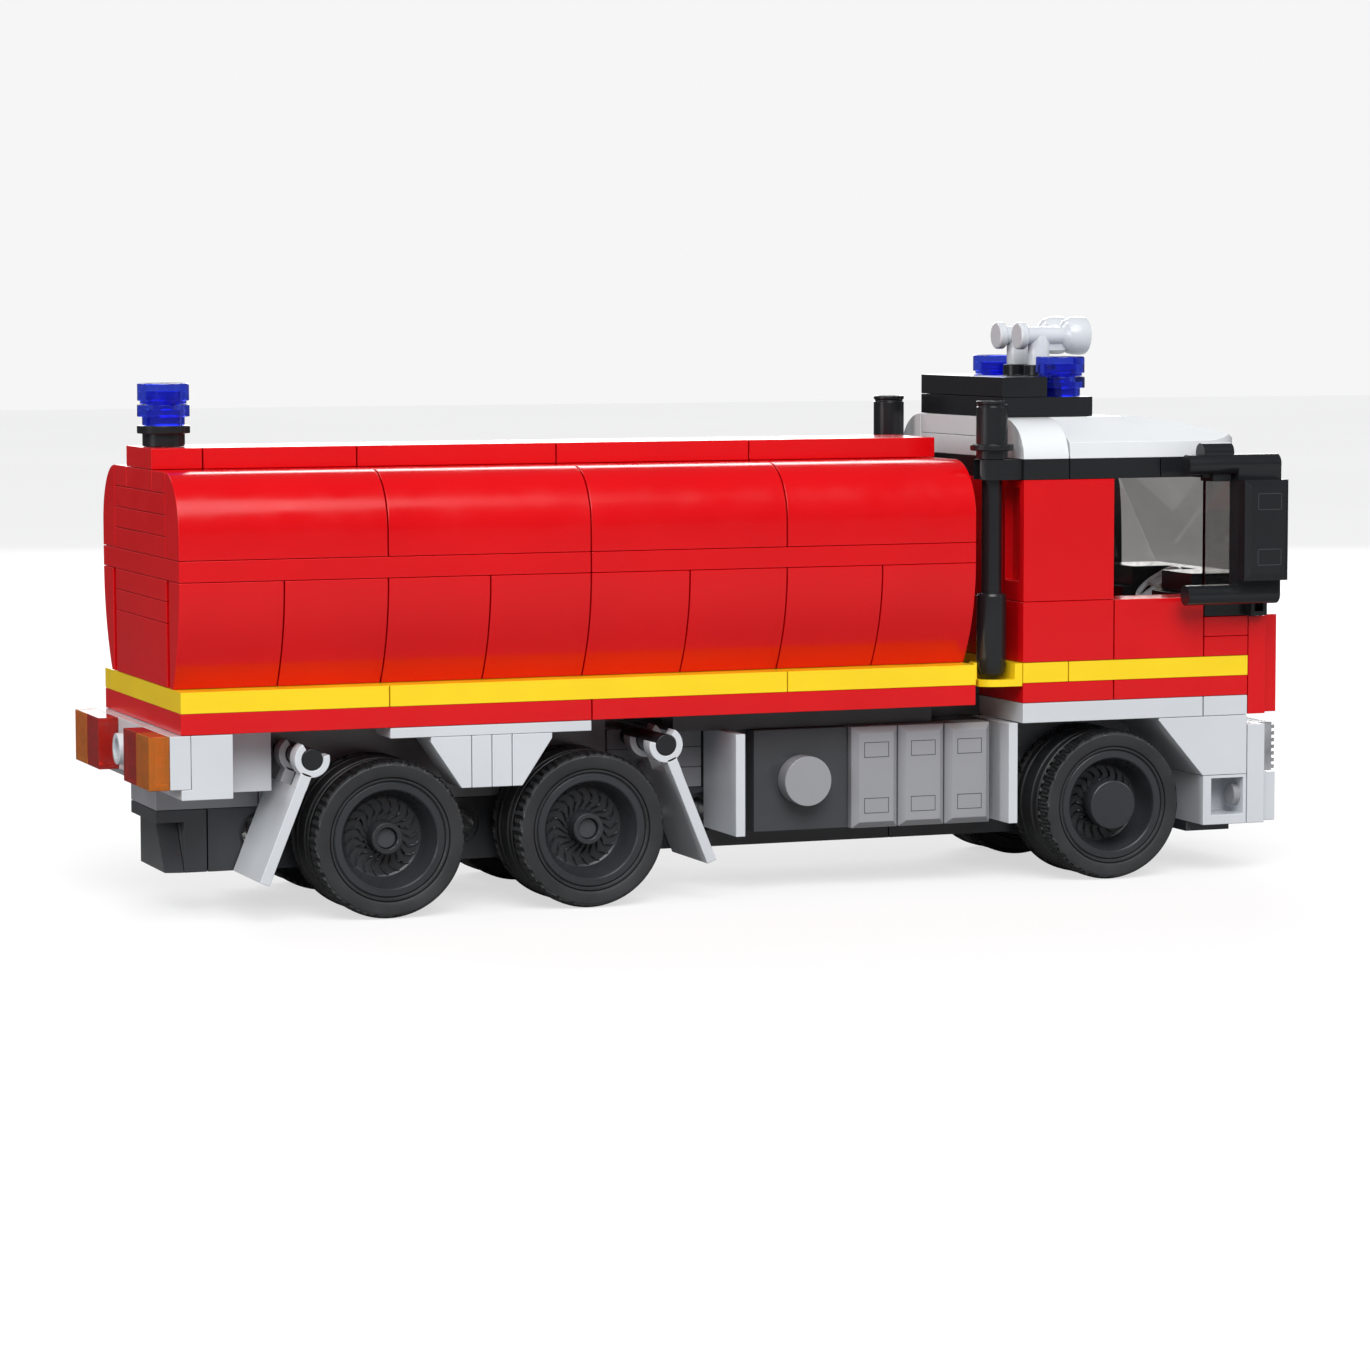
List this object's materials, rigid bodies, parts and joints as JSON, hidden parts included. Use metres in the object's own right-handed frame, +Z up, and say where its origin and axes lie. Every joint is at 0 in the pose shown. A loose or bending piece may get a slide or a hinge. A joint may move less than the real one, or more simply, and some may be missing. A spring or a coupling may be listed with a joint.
{
  "type": "brick-built toy airport fire truck",
  "caption": "Small brick-built toy of an airport fire truck: long rounded water tank behind a short cab, rolling wheels, swinging mudguard flaps and turning roof cannons.",
  "frame": {"origin": "on the ground under the middle of the truck's length and width", "axes": "+X forwards to the cab's front, +Y to the truck's left, +Z up"},
  "size_m": [0.1872, 0.0656, 0.0895],
  "materials": {
    "red_plastic": "gloss",
    "yellow_plastic": "gloss",
    "white_plastic": "gloss",
    "light_grey_plastic": "gloss",
    "mid_grey_plastic": "gloss",
    "dark_grey_plastic": "gloss",
    "black_plastic": "gloss",
    "tyre_rubber": "matt",
    "clear_blue": "gloss",
    "clear_orange": "gloss",
    "clear_red": "gloss",
    "smoked_clear": "gloss",
    "bright_chrome": "mirror"
  },
  "bodies": {
    "truck": {"chassis_beams": "dark_grey_plastic", "rear_block": "dark_grey_plastic", "chassis_risers": "mid_grey_plastic", "deck_plates": "red_plastic", "stripe_plates": "yellow_plastic", "tank_core": "red_plastic", "tank_band": "red_plastic", "tank_lower_panels": "red_plastic", "tank_upper_panels": "red_plastic", "tank_ridge": "red_plastic", "tail_frame": "light_grey_plastic", "tail_lamps_orange": "clear_orange", "tail_lamps_red": "clear_red", "beacon_base": "black_plastic", "blue_lights": "clear_blue", "arch_trim": "light_grey_plastic", "locker_frames": "light_grey_plastic", "locker_backs": "dark_grey_plastic", "locker_doors": "mid_grey_plastic", "flap_bars": "black_plastic", "cab_base": "light_grey_plastic", "cab_walls": "red_plastic", "cab_band": "black_plastic", "cab_roof": "white_plastic", "roof_plates": "black_plastic", "windscreen": "smoked_clear", "cab_inside": "black_plastic", "steering_wheel": "light_grey_plastic", "front_panels": "red_plastic", "front_grille": "black_plastic", "front_bumper": "light_grey_plastic", "chrome_grilles": "bright_chrome", "cab_steps": "light_grey_plastic", "exhausts": "black_plastic", "mirrors": "black_plastic"},
    "wheels_rear": {"axle_rear": "dark_grey_plastic", "rims_rear": "black_plastic", "tyres_rear": "tyre_rubber"},
    "wheels_middle": {"axle_middle": "dark_grey_plastic", "rims_middle": "black_plastic", "tyres_middle": "tyre_rubber"},
    "wheels_front": {"axle_front": "dark_grey_plastic", "rims_front": "black_plastic", "tyres_front": "tyre_rubber"},
    "flap_rear_right": {"flap_rear_right": "light_grey_plastic"},
    "flap_rear_left": {"flap_rear_left": "light_grey_plastic"},
    "flap_front_right": {"flap_front_right": "light_grey_plastic"},
    "flap_front_left": {"flap_front_left": "light_grey_plastic"},
    "cannon_right": {"cannon_right": "light_grey_plastic"},
    "cannon_left": {"cannon_left": "light_grey_plastic"}
  },
  "joints": [
    {"name": "rear_axle_roll", "type": "hinge", "parent": "truck", "child": "wheels_rear", "pos_m": [-0.0568, 0, 0.012], "axis": [0, 1, 0], "continuous": true},
    {"name": "middle_axle_roll", "type": "hinge", "parent": "truck", "child": "wheels_middle", "pos_m": [-0.0248, 0, 0.012], "axis": [0, 1, 0], "continuous": true},
    {"name": "front_axle_roll", "type": "hinge", "parent": "truck", "child": "wheels_front", "pos_m": [0.0632, 0, 0.012], "axis": [0, 1, 0], "continuous": true},
    {"name": "rear_flap_right_swing", "type": "hinge", "parent": "truck", "child": "flap_rear_right", "pos_m": [-0.0688, -0.016, 0.02455], "axis": [0, 1, 0], "range_deg": [-15, 3]},
    {"name": "rear_flap_left_swing", "type": "hinge", "parent": "truck", "child": "flap_rear_left", "pos_m": [-0.0688, 0.016, 0.02455], "axis": [0, 1, 0], "range_deg": [-15, 3]},
    {"name": "front_flap_right_swing", "type": "hinge", "parent": "truck", "child": "flap_front_right", "pos_m": [-0.0128, -0.016, 0.02455], "axis": [0, 1, 0], "range_deg": [-12, 15]},
    {"name": "front_flap_left_swing", "type": "hinge", "parent": "truck", "child": "flap_front_left", "pos_m": [-0.0128, 0.016, 0.02455], "axis": [0, 1, 0], "range_deg": [-12, 15]},
    {"name": "cannon_right_turn", "type": "hinge", "parent": "truck", "child": "cannon_right", "pos_m": [0.0592, -0.004, 0.08], "axis": [0, 0, 1], "range_deg": [-45, 4]},
    {"name": "cannon_left_turn", "type": "hinge", "parent": "truck", "child": "cannon_left", "pos_m": [0.0592, 0.004, 0.08], "axis": [0, 0, 1], "range_deg": [-4, 45]}
  ]
}
